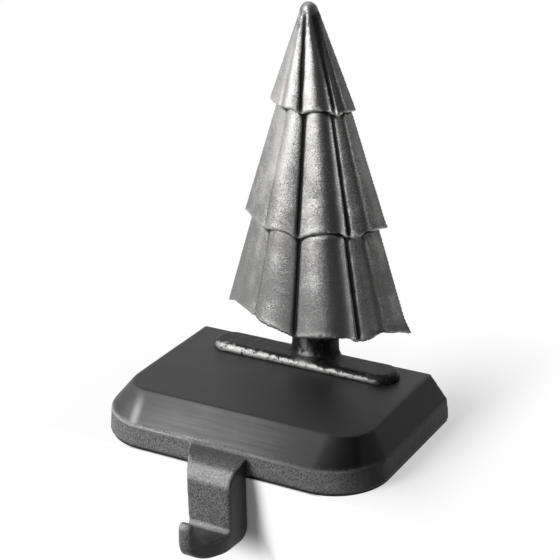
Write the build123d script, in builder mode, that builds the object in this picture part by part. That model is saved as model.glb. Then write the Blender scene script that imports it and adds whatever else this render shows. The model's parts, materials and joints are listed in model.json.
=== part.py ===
"""Mantel stocking holder: a heavy cast base with a hook, and a pleated tree screwed on top.

Millimetres. +X runs along the mantel, +Y towards the wall, +Z up. The origin is the middle of
the base's footprint, on the mantel.
"""

import os
from math import cos, radians, sin, tan
from typing import NamedTuple

from build123d import *

# Base block
base_width = 120.0
base_depth = 76.2
base_height = 19.0
wall_height = 9.65
wall_draft = 0.75
side_chamfer = 7.4
front_chamfer = 12.5
base_corner = 23.0
top_corner = 12.0
shoulder_round = 2.0
wall_round = 1.2

# Pad under the base
pad_thickness = 1.2
pad_inset = 0.8

# Hook hanging from the front wall
hook_x = 3.2
hook_width = 18.1
hook_thickness = 13.1
hook_shoulder_height = 6.0
hook_shoulder_round = 6.5
hook_root = 4.0
hook_root_height = 9.8
hook_flare = 6.8
cradle_width = 14.1
cradle_rise = 7.4
cradle_floor_height = -16.7
cradle_corner = 2.2
belly_height = -11.7
belly_radius = 11.7
belly_slope = 4.0
tip_thickness = 4.4
tip_width = 3.8
taper_bow = 0.6
heel_round = 5.0
hook_bevel = 0.9

# Foot bar of the tree casting
foot_x = 2.2
foot_length = 82.4
foot_width = 14.5
foot_height = 3.6
foot_round = 2.6
foot_setback = 4.8

# Trunk
tree_x = 3.9
trunk_radius = 10.1
trunk_flare = 3.2
trunk_flare_height = 5.5
trunk_tuck = 6.0

# Pleated tiers, with heights above the base: half width and relief at each hem, and taper as half
# width lost per mm of rise
bottom_hem_height = 15.8
bottom_hem_half = 41.4
bottom_hem_relief = 20.6
bottom_taper = 0.316
middle_hem_height = 55.2
middle_hem_half = 32.9
middle_hem_relief = 16.4
middle_taper = 0.339
top_hem_x = 3.2
top_hem_height = 103.0
top_hem_half = 19.6
top_hem_relief = 11.0
tier_tuck = 4.0
tree_height = 144.4
apex_x = 2.5
apex_radius = 4.0
cap_height = 2.5
neck_half = 3.75

# Pleats: where the grooves run round the relief, and how panels bow out as a share of their width
right_groove_angle = 48.5
middle_groove_angle = 89.0
left_groove_angle = 119.0
groove_depth = 1.2
neck_groove_depth = 0.3
front_bow = 0.1
side_bow = 0.055

# Hems: how panels arch up as a share of their width, and how far each end and outer fold stands
# above the middle fold
bottom_front_rise = 0.08
bottom_side_rise = 0.1
middle_front_rise = 0.165
middle_side_rise = 0.06
top_front_rise = 0.2
top_side_rise = 0.06
bottom_right_end = 1.9
bottom_right_fold = 1.2
bottom_left_fold = 3.5
bottom_left_end = 0.3
middle_right_end = 4.8
middle_right_fold = 2.1
middle_left_fold = 0.8
middle_left_end = 2.2
top_right_end = 1.3
top_right_fold = 0.4
top_left_fold = 1.0
top_left_end = 1.8

# Screws that hold the tree down
screw_diameter = 4.0
screw_head_diameter = 8.0
screw_head_height = 2.8
screw_spacing = 10.0
screw_engagement = 10.0
screw_clearance = 0.3
thread_clearance = 0.1
head_recess = 0.6

# Angles of the flat-backed relief, and how close an edge has to be to count as on a level
half_turn = 180.0
match_tolerance = 0.01

# Places worked out from the sizes above
base_back = base_depth / 2
base_front = -base_depth / 2
base_underside = pad_thickness
hook_left = hook_x - hook_width / 2
strap_front = base_front - hook_thickness
tip_inner = strap_front - cradle_width
tip_height = cradle_floor_height + cradle_rise
tip_reach = tip_inner - tip_thickness
tree_back = base_back - foot_setback
foot_y = tree_back - foot_width / 2
foot_top = base_height + foot_height
tree_top = base_height + tree_height
screw_seat = base_underside + head_recess + screw_head_height
screw_y = tree_back - trunk_radius / 2
screw_places = [(tree_x + side * screw_spacing / 2, screw_y) for side in (-1, 1)]


def base_section(height, inset, front_inset, corner):
    """Outline of the base at one height: a square back edge and rounded front corners."""
    with BuildSketch(Plane.XY.offset(height)) as section:
        with Locations((0, base_back)):
            Rectangle(
                base_width - 2 * inset,
                base_depth - front_inset,
                align=(Align.CENTER, Align.MAX),
            )
        fillet(section.vertices().group_by(Axis.Y)[0], radius=corner)
    return section.sketch


def rim_edges(part, height):
    """Edges round the front and sides of a part at one height, without its back edge."""
    level = part.edges().filter_by(lambda edge: edge.bounding_box().size.Z < match_tolerance)
    level = level.filter_by_position(Axis.Z, height - match_tolerance, height + match_tolerance)
    return level.filter_by(lambda edge: edge.center().Y < base_back - match_tolerance)


class Level(NamedTuple):
    """One level of a tier: height above the base, middle and half of its width, relief, groove."""

    height: float
    middle: float
    half: float
    relief: float
    groove: float

    def point(self, angle):
        """Point of the half-oval relief, counted in degrees from its right-hand edge."""
        turn = radians(angle)
        across = self.middle + self.half * cos(turn)
        return Vector(across, tree_back - self.relief * sin(turn), base_height + self.height)

    def raised(self, height, taper):
        """The same tier higher up, where it has lost taper mm of half width per mm of rise."""
        left = 1 - taper * (height - self.height) / self.half
        return Level(height, self.middle, self.half * left, self.relief * left, self.groove * left)


class Panel(NamedTuple):
    """One pleat between two grooves or edges of the relief: its angles, its bow, and a side's crease."""

    start: float
    end: float
    bow: float
    creased: bool

    def chord(self, level):
        """The panel's right-hand and left-hand corners at one level."""
        return level.point(self.start), level.point(self.end)

    def plane(self, level):
        """Upright plane through the chord, facing out, with its X running left to right."""
        first, last = self.chord(level)
        chord = first - last
        return Plane(origin=(first + last) / 2, x_dir=chord, z_dir=Vector(chord.Y, -chord.X, 0))

    def face(self, level):
        """The panel's right end, crest and left end at one level, clear of the grooves beside it."""
        first, last = self.chord(level)
        along = (last - first).normalized()
        right = first + along * (level.groove if self.start > 0 else 0)
        left = last - along * (level.groove if self.end < half_turn else 0)
        crest = (right + left) / 2 + self.plane(level).z_dir * self.bow * (left - right).length
        return right, crest, left


right_side = Panel(0, right_groove_angle, side_bow, creased=True)
right_front = Panel(right_groove_angle, middle_groove_angle, front_bow, creased=False)
left_front = Panel(middle_groove_angle, left_groove_angle, front_bow, creased=False)
left_side = Panel(left_groove_angle, half_turn, side_bow, creased=True)
panels = (right_side, right_front, left_front, left_side)


def tier_section(level):
    """Plan of a tier at one level: bowed or creased panels, a vee groove at each fold, a flat back."""
    with BuildSketch(Plane.XY.offset(base_height + level.height)) as section:
        with BuildLine():
            groove_start = None
            for panel in panels:
                right, crest, left = [Vector(point.X, point.Y) for point in panel.face(level)]
                if groove_start is not None:
                    across = right - groove_start
                    inward = Vector(across.Y, -across.X).normalized()
                    valley = (groove_start + right) / 2 + inward * level.groove
                    Polyline(groove_start, valley, right)
                if panel.creased:
                    Polyline(right, crest, left)
                else:
                    ThreePointArc(right, crest, left)
                groove_start = left
            Line((level.middle - level.half, tree_back), (level.middle + level.half, tree_back))
        make_face()
    return section.sketch


def pleated_tier(hem, top, front_rise, side_rise, lifts):
    """One skirt of the tree: a fluted taper between two levels, with a scalloped hem.

    The lifts run from the right end over the three folds to the left end.
    """
    with BuildPart() as tier:
        loft([tier_section(hem), tier_section(top)], ruled=True)
        for panel, right_lift, left_lift in zip(panels, lifts, lifts[1:]):
            first, last = panel.chord(hem)
            span = (first - last).length
            rise = side_rise if panel.creased else front_rise
            crest = (right_lift + left_lift) / 2 + rise * span
            with BuildSketch(panel.plane(hem)):
                with BuildLine():
                    arch = ThreePointArc((-span / 2, left_lift), (0, crest), (span / 2, right_lift))
                    Polyline(arch @ 1, (span / 2, -span), (-span / 2, -span), arch @ 0)
                make_face()
            extrude(amount=hem.half, both=True, mode=Mode.SUBTRACT)
    return tier.part


# Hook: a thick strap that turns up into a tapering tip, with a web beside its root
with BuildPart() as hook:
    with BuildSketch(Plane.YZ.offset(hook_left)) as profile:
        with BuildLine():
            root = Line(
                (base_front + hook_root, base_underside),
                (base_front + hook_root, hook_root_height),
            )
            strap = FilletPolyline(
                root @ 1,
                (strap_front, hook_shoulder_height),
                (strap_front, cradle_floor_height),
                (tip_inner + cradle_rise, cradle_floor_height),
                radius=[hook_shoulder_round, cradle_corner],
            )
            cradle = JernArc(strap @ 1, strap % 1, cradle_rise, -90)
            tip = ThreePointArc(
                cradle @ 1,
                ((tip_inner + tip_reach) / 2, tip_height + tip_thickness / 2),
                (tip_reach, tip_height),
            )
            outer_face = Line(tip @ 1, (tip_reach, belly_height))
            belly = JernArc(outer_face @ 1, (0, -1), belly_radius, 90 - belly_slope)
            sag = (base_front - (belly @ 1).X) * tan(radians(belly_slope))
            heel = FilletPolyline(
                belly @ 1,
                (base_front, (belly @ 1).Y - sag),
                (base_front, base_underside),
                radius=heel_round,
            )
            Line(heel @ 1, root @ 0)
        make_face()
    extrude(amount=hook_width)
    with BuildSketch(Plane.XY.offset(hook_root_height)):
        with BuildLine():
            shoulder = Vector(hook_x + hook_width / 2, strap_front)
            nose = Vector(hook_x + tip_width / 2, tip_reach)
            waist = (shoulder + nose) / 2 + Vector(taper_bow, 0)
            Spline(shoulder, waist, nose, tangents=[(0, -1), nose - waist])
            Polyline(nose, (shoulder.X, nose.Y), shoulder)
        make_face()
        mirror(about=Plane.YZ.offset(hook_x))
    extrude(amount=hook.part.bounding_box().size.Z, dir=(0, 0, -1), mode=Mode.SUBTRACT)
    flank_edges = hook.edges().filter_by(Axis.X, reverse=True)
    outside_wall = base_front - hook_bevel / 2
    chamfer(flank_edges.filter_by_position(Axis.Y, tip_reach, outside_wall), length=hook_bevel)
    with BuildPart(mode=Mode.PRIVATE) as web:
        extrude(profile.sketch, amount=hook_flare, both=True)
        with BuildSketch(Plane.XY.offset(base_underside)):
            with BuildLine():
                Polyline(
                    (hook_left + hook_bevel, base_front + hook_root),
                    (hook_left - hook_flare, base_front + hook_root),
                    (hook_left - hook_flare, base_front),
                    (hook_left, strap_front + hook_shoulder_round),
                    (hook_left + hook_bevel, strap_front + hook_shoulder_round),
                    close=True,
                )
            make_face()
        extrude(amount=hook_root_height - base_underside, mode=Mode.INTERSECT)
    add(web.part)

# Base: drafted wall and wide front chamfer, with the hook hanging from the wall
with BuildPart() as base_casting:
    outline = base_section(base_underside, 0, 0, base_corner)
    wall_top = base_section(wall_height, wall_draft, wall_draft, base_corner - wall_draft)
    top = base_section(base_height, wall_draft + side_chamfer, wall_draft + front_chamfer, top_corner)
    loft([outline, wall_top, top], ruled=True)
    fillet(rim_edges(base_casting, base_height), radius=shoulder_round)
    fillet(rim_edges(base_casting, wall_height), radius=wall_round)
    add(hook.part)
    for place in screw_places:
        with Locations(Location((*place, base_underside), (half_turn, 0, 0))):
            CounterBoreHole(
                radius=screw_diameter / 2 + screw_clearance,
                counter_bore_radius=screw_head_diameter / 2 + screw_clearance,
                counter_bore_depth=head_recess + screw_head_height,
            )

# Pad: keeps the base from slipping or scratching
with BuildPart() as base_pad:
    add(base_section(0, pad_inset, pad_inset, base_corner - pad_inset))
    extrude(amount=pad_thickness)

# Tree: foot bar, flared trunk and three overlapping skirts, flat behind
bottom_hem = Level(bottom_hem_height, tree_x, bottom_hem_half, bottom_hem_relief, groove_depth)
middle_hem = Level(middle_hem_height, tree_x, middle_hem_half, middle_hem_relief, groove_depth)
top_hem = Level(top_hem_height, top_hem_x, top_hem_half, top_hem_relief, groove_depth)
neck = Level(tree_height - cap_height, apex_x, neck_half, neck_half, neck_groove_depth)
bottom_lifts = (bottom_right_end, bottom_right_fold, 0, bottom_left_fold, bottom_left_end)
middle_lifts = (middle_right_end, middle_right_fold, 0, middle_left_fold, middle_left_end)
top_lifts = (top_right_end, top_right_fold, 0, top_left_fold, top_left_end)
trunk_top = base_height + bottom_hem_height + trunk_tuck
with BuildPart() as tree_casting:
    with BuildSketch(Plane.XY.offset(base_height)):
        with Locations((foot_x, foot_y)):
            SlotOverall(foot_length, foot_width)
    extrude(amount=foot_height)
    fillet(tree_casting.edges().group_by(Axis.Z)[-1], radius=foot_round)
    with BuildSketch(Plane.XZ.offset(-tree_back)):
        with BuildLine():
            flare = TangentArc(
                (tree_x + trunk_radius, foot_top - foot_round + trunk_flare_height),
                (tree_x + trunk_radius + trunk_flare, foot_top - foot_round),
                tangent=(0, -1),
            )
            Polyline(
                flare @ 1,
                (tree_x, foot_top - foot_round),
                (tree_x, trunk_top),
                (tree_x + trunk_radius, trunk_top),
                flare @ 0,
            )
        make_face()
    revolve(axis=Axis((tree_x, tree_back, 0), (0, 0, -1)), revolution_arc=half_turn)
    bottom_top = bottom_hem.raised(middle_hem_height + tier_tuck, bottom_taper)
    add(pleated_tier(bottom_hem, bottom_top, bottom_front_rise, bottom_side_rise, bottom_lifts))
    middle_top = middle_hem.raised(top_hem_height + tier_tuck, middle_taper)
    add(pleated_tier(middle_hem, middle_top, middle_front_rise, middle_side_rise, middle_lifts))
    add(pleated_tier(top_hem, neck, top_front_rise, top_side_rise, top_lifts))
    with Locations(Location((apex_x, tree_back, tree_top - apex_radius), (0, 0, half_turn))):
        Sphere(apex_radius, arc_size3=half_turn, align=(Align.CENTER, Align.MIN, Align.CENTER))
    for place in screw_places:
        with Locations((*place, base_height)):
            Cylinder(
                screw_diameter / 2 + thread_clearance,
                screw_engagement + thread_clearance,
                align=(Align.CENTER, Align.CENTER, Align.MIN),
                mode=Mode.SUBTRACT,
            )

# Screws: up through the base into the trunk, heads sunk above the pad
with BuildPart() as fixing_screws:
    for place in screw_places:
        with Locations((*place, screw_seat)):
            Cylinder(
                screw_head_diameter / 2,
                screw_head_height,
                align=(Align.CENTER, Align.CENTER, Align.MAX),
            )
            Cylinder(
                screw_diameter / 2,
                base_height + screw_engagement - screw_seat,
                align=(Align.CENTER, Align.CENTER, Align.MIN),
            )

os.makedirs("parts", exist_ok=True)
base_casting.part.label = "base_casting"
export_step(base_casting.part, "parts/base_casting.step")
base_pad.part.label = "base_pad"
export_step(base_pad.part, "parts/base_pad.step")
tree_casting.part.label = "tree_casting"
export_step(tree_casting.part, "parts/tree_casting.step")
fixing_screws.part.label = "fixing_screws"
export_step(fixing_screws.part, "parts/fixing_screws.step")
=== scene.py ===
"""Looks of the mantel stocking holder: two sculpted castings, a rubber pad and screws on a white ledge."""

from __future__ import annotations

import json
import logging
import math
from dataclasses import dataclass
from enum import Enum
from typing import Any, Mapping, NamedTuple, Sequence, Union

import bmesh
import bpy
import numpy as np
from mathutils import Matrix, Vector, noise

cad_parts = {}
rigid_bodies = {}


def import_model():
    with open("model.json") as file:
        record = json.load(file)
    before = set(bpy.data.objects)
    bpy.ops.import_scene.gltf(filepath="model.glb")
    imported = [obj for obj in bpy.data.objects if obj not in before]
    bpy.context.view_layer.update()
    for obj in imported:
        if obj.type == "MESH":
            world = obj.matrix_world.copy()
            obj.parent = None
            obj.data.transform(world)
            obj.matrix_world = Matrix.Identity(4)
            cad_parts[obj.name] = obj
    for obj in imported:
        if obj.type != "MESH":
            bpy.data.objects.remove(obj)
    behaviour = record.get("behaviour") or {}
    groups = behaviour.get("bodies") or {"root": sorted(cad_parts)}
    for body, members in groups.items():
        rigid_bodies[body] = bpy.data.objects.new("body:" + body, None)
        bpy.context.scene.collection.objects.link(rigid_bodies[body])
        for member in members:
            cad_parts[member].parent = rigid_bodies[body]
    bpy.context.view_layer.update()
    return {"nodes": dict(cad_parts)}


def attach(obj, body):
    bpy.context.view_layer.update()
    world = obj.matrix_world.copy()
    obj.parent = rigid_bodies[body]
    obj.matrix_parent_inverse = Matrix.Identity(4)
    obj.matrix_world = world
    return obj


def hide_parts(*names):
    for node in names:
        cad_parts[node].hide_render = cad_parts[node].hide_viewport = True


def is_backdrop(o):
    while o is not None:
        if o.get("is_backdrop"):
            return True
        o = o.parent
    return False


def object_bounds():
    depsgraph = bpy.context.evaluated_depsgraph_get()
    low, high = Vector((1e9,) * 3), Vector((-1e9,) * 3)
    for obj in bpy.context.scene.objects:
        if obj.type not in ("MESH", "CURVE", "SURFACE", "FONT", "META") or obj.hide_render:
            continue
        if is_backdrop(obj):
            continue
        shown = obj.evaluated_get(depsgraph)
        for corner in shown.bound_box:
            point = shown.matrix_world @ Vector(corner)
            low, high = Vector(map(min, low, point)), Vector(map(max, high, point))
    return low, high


LOG = logging.getLogger("stocking_holder")
MM = 0.001
ROOT_BODY = "root"

Colour = tuple[float, float, float, float]
Key = Union[int, str]
# Where a smooth mask is 0 and where it is 1, in millimetres unless said otherwise
Span = tuple[float, float]


class Node(Enum):
    """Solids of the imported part."""

    BASE = "base_casting"
    PAD = "base_pad"
    SCREWS = "fixing_screws"
    TREE = "tree_casting"


class Slot(Enum):
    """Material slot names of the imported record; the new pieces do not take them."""

    BASE = "base_iron"
    TREE = "tree_aluminium"


class Mark(Enum):
    """Point attributes that a sculpted skin carries for its finish."""

    HOLLOW = "hollow"
    RIDGE = "ridge"
    # Painted shade on pleat sides turned from the light, with patina, a mottled darker apex and rubbed
    # spots
    SHADE_AND_PATINA = "shade_and_patina"


def step(values: np.ndarray, low: float, high: float) -> np.ndarray:
    """Smooth rise from 0 at low to 1 at high, or fall where high is below low."""
    share = np.clip((values - low) / (high - low), 0.0, 1.0)
    return share * share * (3.0 - 2.0 * share)


def hill(values: np.ndarray, centre: Union[float, np.ndarray], width: float) -> np.ndarray:
    """Bell curve of height 1 around a centre, down to about a third a width away."""
    return np.exp(-(((values - centre) / width) ** 2))


def waves(points: np.ndarray, length: float, seed: float = 0.0) -> np.ndarray:
    """Smooth repeatable noise from about -1 to 1 over points, with swells a length apart."""
    return np.array([noise.noise(Vector(row)) for row in points / length + seed])


class Bell(NamedTuple):
    """A rounded ridge across some measure, or a hollow where its height is below 0."""

    centre: float
    width: float
    height: float


def profile(values: np.ndarray, *bells: Bell) -> np.ndarray:
    """Height of a sum of bells at each value."""
    return sum(bell.height * hill(values, bell.centre, bell.width) for bell in bells)


class Swell(NamedTuple):
    """One layer of unevenness: its height and length in millimetres, and a shift of its pattern."""

    height: float
    length: float
    seed: float = 0.0


def uneven(points: np.ndarray, *swells: Swell) -> np.ndarray:
    """Height of a sum of swells at each point, in millimetres."""
    return sum(swell.height * waves(points, swell.length * MM, swell.seed) for swell in swells)


def within(values: np.ndarray, span: Span) -> np.ndarray:
    """Whether each value lies between two limits."""
    return (values > span[0]) & (values < span[1])


class Wire:
    """An output socket in a node tree, whose arithmetic adds Math nodes."""

    def __init__(self, board: "Board", socket: Any) -> None:
        """Keeps the socket and the board it is on."""
        self.board = board
        self.socket = socket

    def out(self, output: Key) -> "Wire":
        """Another output of the same node."""
        return Wire(self.board, self.socket.node.outputs[output])

    def _maths(self, operation: str, first: "Value", second: "Value") -> "Wire":
        """One Math node on two values."""
        return self.board.add("ShaderNodeMath", {"operation": operation}, {0: first, 1: second})

    def __add__(self, other: "Value") -> "Wire":
        """Sum."""
        return self._maths("ADD", self, other)

    __radd__ = __add__

    def __sub__(self, other: "Value") -> "Wire":
        """Difference."""
        return self._maths("SUBTRACT", self, other)

    def __rsub__(self, other: "Value") -> "Wire":
        """Difference, from a plain number."""
        return self._maths("SUBTRACT", other, self)

    def __mul__(self, other: "Value") -> "Wire":
        """Product."""
        return self._maths("MULTIPLY", self, other)

    __rmul__ = __mul__

    def __or__(self, other: "Value") -> "Wire":
        """The larger of two masks."""
        return self._maths("MAXIMUM", self, other)

    def rise(self, low: float, high: float) -> "Wire":
        """Smooth mask that is 0 at low and 1 at high; it falls where high is below low."""
        settings = {"interpolation_type": "SMOOTHSTEP"}
        return self.board.add("ShaderNodeMapRange", settings, {0: self, 1: low, 2: high, 3: 0.0, 4: 1.0})

    def near(self, centre: float, width: float) -> "Wire":
        """Mask that is 1 at a value and falls to 0 a width away on both sides."""
        distance = self._maths("ABSOLUTE", self - centre, 0.0)
        return 1.0 - distance.rise(0.0, width)


Value = Union[Wire, float, Sequence[float]]


class Grain(NamedTuple):
    """A noise pattern: swells per millimetre, finer layers, their strength, a stretch along the axes."""

    scale: float
    detail: float
    rough: float = 0.5
    stretch: tuple[float, float, float] | None = None


SAND = Grain(1.9, 3.0, 0.75)


class Board:
    """The node tree of one material or of the world."""

    def __init__(self, owner: Any) -> None:
        """Clears the owner's tree.

        Args:
            owner: The material or world.
        """
        owner.use_nodes = True
        self.owner = owner
        self.tree = owner.node_tree
        self.tree.nodes.clear()

    @classmethod
    def material(cls, name: str) -> "Board":
        """The empty tree of a new material."""
        return cls(bpy.data.materials.new(name))

    def add(
        self,
        kind: str,
        settings: Mapping[str, Any] | None = None,
        sockets: Mapping[Key, Value] | None = None,
        output: Key = 0,
    ) -> Wire:
        """Makes one node.

        Args:
            kind: The node's type.
            settings: Its settings, set first.
            sockets: Values or links of its inputs, by index or name.
            output: The output that is wanted.

        Returns:
            That output, or an empty wire for a node with no output.
        """
        node = self.tree.nodes.new(kind)
        for name, value in (settings or {}).items():
            setattr(node, name, value)
        for key, value in (sockets or {}).items():
            if isinstance(value, Wire):
                self.tree.links.new(value.socket, node.inputs[key])
            else:
                node.inputs[key].default_value = value
        return Wire(self, node.outputs[output] if len(node.outputs) else None)

    def millimetres(self) -> Wire:
        """Object coordinates in millimetres."""
        place = self.add("ShaderNodeTexCoord", output="Object")
        return self.add("ShaderNodeVectorMath", {"operation": "SCALE"}, {0: place, "Scale": 1.0 / MM})

    def axes(self, vector: Wire) -> tuple[Wire, Wire, Wire]:
        """A vector's three parts."""
        across = self.add("ShaderNodeSeparateXYZ", {}, {0: vector})
        return across, across.out(1), across.out(2)

    def noise(self, place: Wire, grain: Grain) -> Wire:
        """Noise over millimetres.

        Args:
            place: Where the noise is read.
            grain: Its pattern.

        Returns:
            Values around 0.5.
        """
        if grain.stretch is not None:
            sockets = {"Vector": place, "Scale": grain.stretch}
            place = self.add("ShaderNodeMapping", {"vector_type": "POINT"}, sockets)
        sockets = {"Vector": place, "Scale": grain.scale, "Detail": grain.detail, "Roughness": grain.rough}
        return self.add("ShaderNodeTexNoise", {}, sockets)

    def mark(self, mark: Mark) -> Wire:
        """A skin's point attribute."""
        settings = {"attribute_type": "GEOMETRY", "attribute_name": mark.value}
        return self.add("ShaderNodeAttribute", settings, output="Fac")

    def mix(self, share: Value, first: Value, second: Value) -> Wire:
        """Colour between two colours."""
        settings = {"data_type": "RGBA", "clamp_factor": True}
        return self.add("ShaderNodeMix", settings, {0: share, 6: first, 7: second}, output=2)

    def bump(self, height: Wire, depth: float, under: Wire | None = None) -> Wire:
        """Surface normal roughened by a height.

        Args:
            height: Heights around 0.5.
            depth: Millimetres between heights of 0 and 1.
            under: A normal that is already roughened.

        Returns:
            The new normal.
        """
        sockets: dict[Key, Value] = {"Height": height, "Distance": depth * MM, "Strength": 1.0}
        if under is not None:
            sockets["Normal"] = under
        return self.add("ShaderNodeBump", {}, sockets)

    def surface(self, sockets: Mapping[Key, Value]) -> bpy.types.Material:
        """Ends the material in one Principled shader with these sockets.

        Args:
            sockets: Values or links of the shader's inputs.

        Returns:
            The finished material.
        """
        shader = self.add("ShaderNodeBsdfPrincipled", {}, sockets)
        self.add("ShaderNodeOutputMaterial", {}, {"Surface": shader})
        return self.owner


def grey(level: float, warmth: float = 0.0) -> Colour:
    """Grey of a linear level, a little warm or cold."""
    return (level * (1.0 + warmth), level, level * (1.0 - warmth), 1.0)


@dataclass(frozen=True)
class AntiquePewter:
    """Rubbed silver-grey casting metal with dark wax left in its folds, painted shade on the pleat sides
    turned from the light and under the hems, and upper tiers painted lighter.
    """

    name: str = "antique_pewter"
    bright: Colour = grey(0.515, 0.012)
    dull: Colour = grey(0.22, 0.012)
    # Colour of dark speckle and of the painted shade on the pleats
    shade_and_tarnish: Colour = grey(0.14, 0.012)
    wax: Colour = grey(0.009, 0.02)
    cloudy: Grain = Grain(0.11, 4.0, 0.6)
    strokes: Grain = Grain(1.0, 3.0, 0.5, (1.6, 1.6, 0.07))
    blotchy: Grain = Grain(0.4, 4.0, 0.7)
    patchy: Grain = Grain(0.45, 4.0, 0.7)
    trickles: Grain = Grain(1.0, 4.0, 0.6, (0.9, 0.9, 0.14))
    # Heights over which the metal is painted lighter upwards: painted light
    brighter: Span = (40.0, 125.0)
    calmer: Span = (100.0, 130.0)
    under_hem: Span = (34.5, 33.3)
    flank_top: float = 21.72
    flank_right: float = 36.0
    flank_fall: float = 0.02
    flank_front: Span = (21.9, 21.1)
    streak_start: float = 8.92
    streak_lean: float = 0.2
    streak_width: float = 3.0
    streak_low: Span = (28.0, 22.0)
    streak_foot: Span = (19.6, 21.6)
    streak_front: Span = (27.0, 25.0)
    grain_depth: float = 0.22

    def material(self) -> bpy.types.Material:
        """Makes the finish.

        Returns:
            The material, for a skin that carries hollow, ridge and shade_and_patina marks; the last holds
            painted shade with patina.
        """
        board = Board.material(self.name)
        place = board.millimetres()
        height = board.axes(place)[2]
        hollow, ridge, shade_and_patina = (board.mark(mark) for mark in (Mark.HOLLOW, Mark.RIDGE, Mark.SHADE_AND_PATINA))
        cloud, sand, brushed = (board.noise(place, grain) for grain in (self.cloudy, SAND, self.strokes))

        # Rubbed wear on ridges and at random, with painted light that grows with height
        wear_and_height_light = cloud + ridge * 0.12 + height.rise(*self.brighter) * 0.4 - 0.2 + (brushed - 0.5) * 0.2
        wear_and_height_light = wear_and_height_light - shade_and_patina * 0.25 - (sand - 0.5) * 0.9
        speck = (sand - 0.5) * (6.5 - height.rise(*self.calmer) * 3.5) + (cloud - 0.5) * 0.5
        folds = (hollow + (sand - 0.5) * 0.2).rise(0.1, 0.7)
        foot = (height + cloud - 0.5).rise(*self.under_hem)

        silver = self._foot_rub(board, place, ridge, sand)
        rub = wear_and_height_light.rise(0.26, 0.85) | (silver * foot * 0.45)
        # Dark speckle together with the painted shade of the pleats, read from the shade_and_patina mark
        tarnish = (shade_and_patina + speck).rise(0.1, 0.9) * (1.0 - silver * foot * 0.5)
        blot = board.noise(place, self.blotchy).rise(0.52, 0.66) * 0.18
        # Dark wax in the folds and on the foot, with the painted shade under the hems that the hollow mark
        # carries
        wax_and_shade = (folds * 0.97) | (foot * (1.0 - silver) * (1.0 - blot))
        metal = board.mix(rub, self.dull, self.bright)
        metal = board.mix(tarnish * 0.8, metal, self.shade_and_tarnish)
        return board.surface(
            {
                "Base Color": board.mix(wax_and_shade, metal, self.wax),
                "Metallic": 1.0 - wax_and_shade * 0.85,
                "Roughness": 0.42 - rub * 0.04 + tarnish * 0.04 - wax_and_shade * 0.06 + (sand - 0.5) * 0.1,
                "Specular IOR Level": 0.12,
                "Normal": board.bump(sand * (1.0 - shade_and_patina.rise(0.35, 0.95) * 0.75), self.grain_depth),
            }
        )

    def _foot_rub(self, board: Board, place: Wire, ridge: Wire, sand: Wire) -> Wire:
        """Mask of the bare metal along the foot bar's front flank and up the trunk.

        Args:
            board: The material's nodes.
            place: Millimetres.
            ridge: How far the surface stands out.
            sand: Sand noise.

        Returns:
            The mask, from 0 to 1.
        """
        across, depth, height = board.axes(place)
        patch, streak = (board.noise(place, grain) for grain in (self.patchy, self.trickles))
        limit = self.flank_top - across * self.flank_fall
        flank = (limit + (patch - 0.5) * 2.6 - height).rise(-0.3, 0.4) * depth.rise(*self.flank_front)
        flank = flank * (self.flank_right - across + (patch - 0.5) * 14.0).rise(-1.0, 2.5)
        flank = flank * (patch * 1.4 + (sand - 0.5) * 1.1).rise(0.46, 0.66)
        off = across + height * self.streak_lean - self.streak_start + (streak - 0.5) * 5.0
        off = off * (1.0 - height.rise(*self.streak_low) * 0.5)
        trunk = off.near(0.0, self.streak_width) * height.rise(*self.streak_foot)
        trunk = trunk * (patch * 0.5 + streak * 0.6 + (sand - 0.5) * 0.8).rise(0.4, 0.56)
        trunk = trunk * depth.rise(*self.streak_front) * 0.9
        return flank | trunk | (ridge.rise(0.35, 0.95) * patch.rise(0.45, 0.65) * 0.7)


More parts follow.
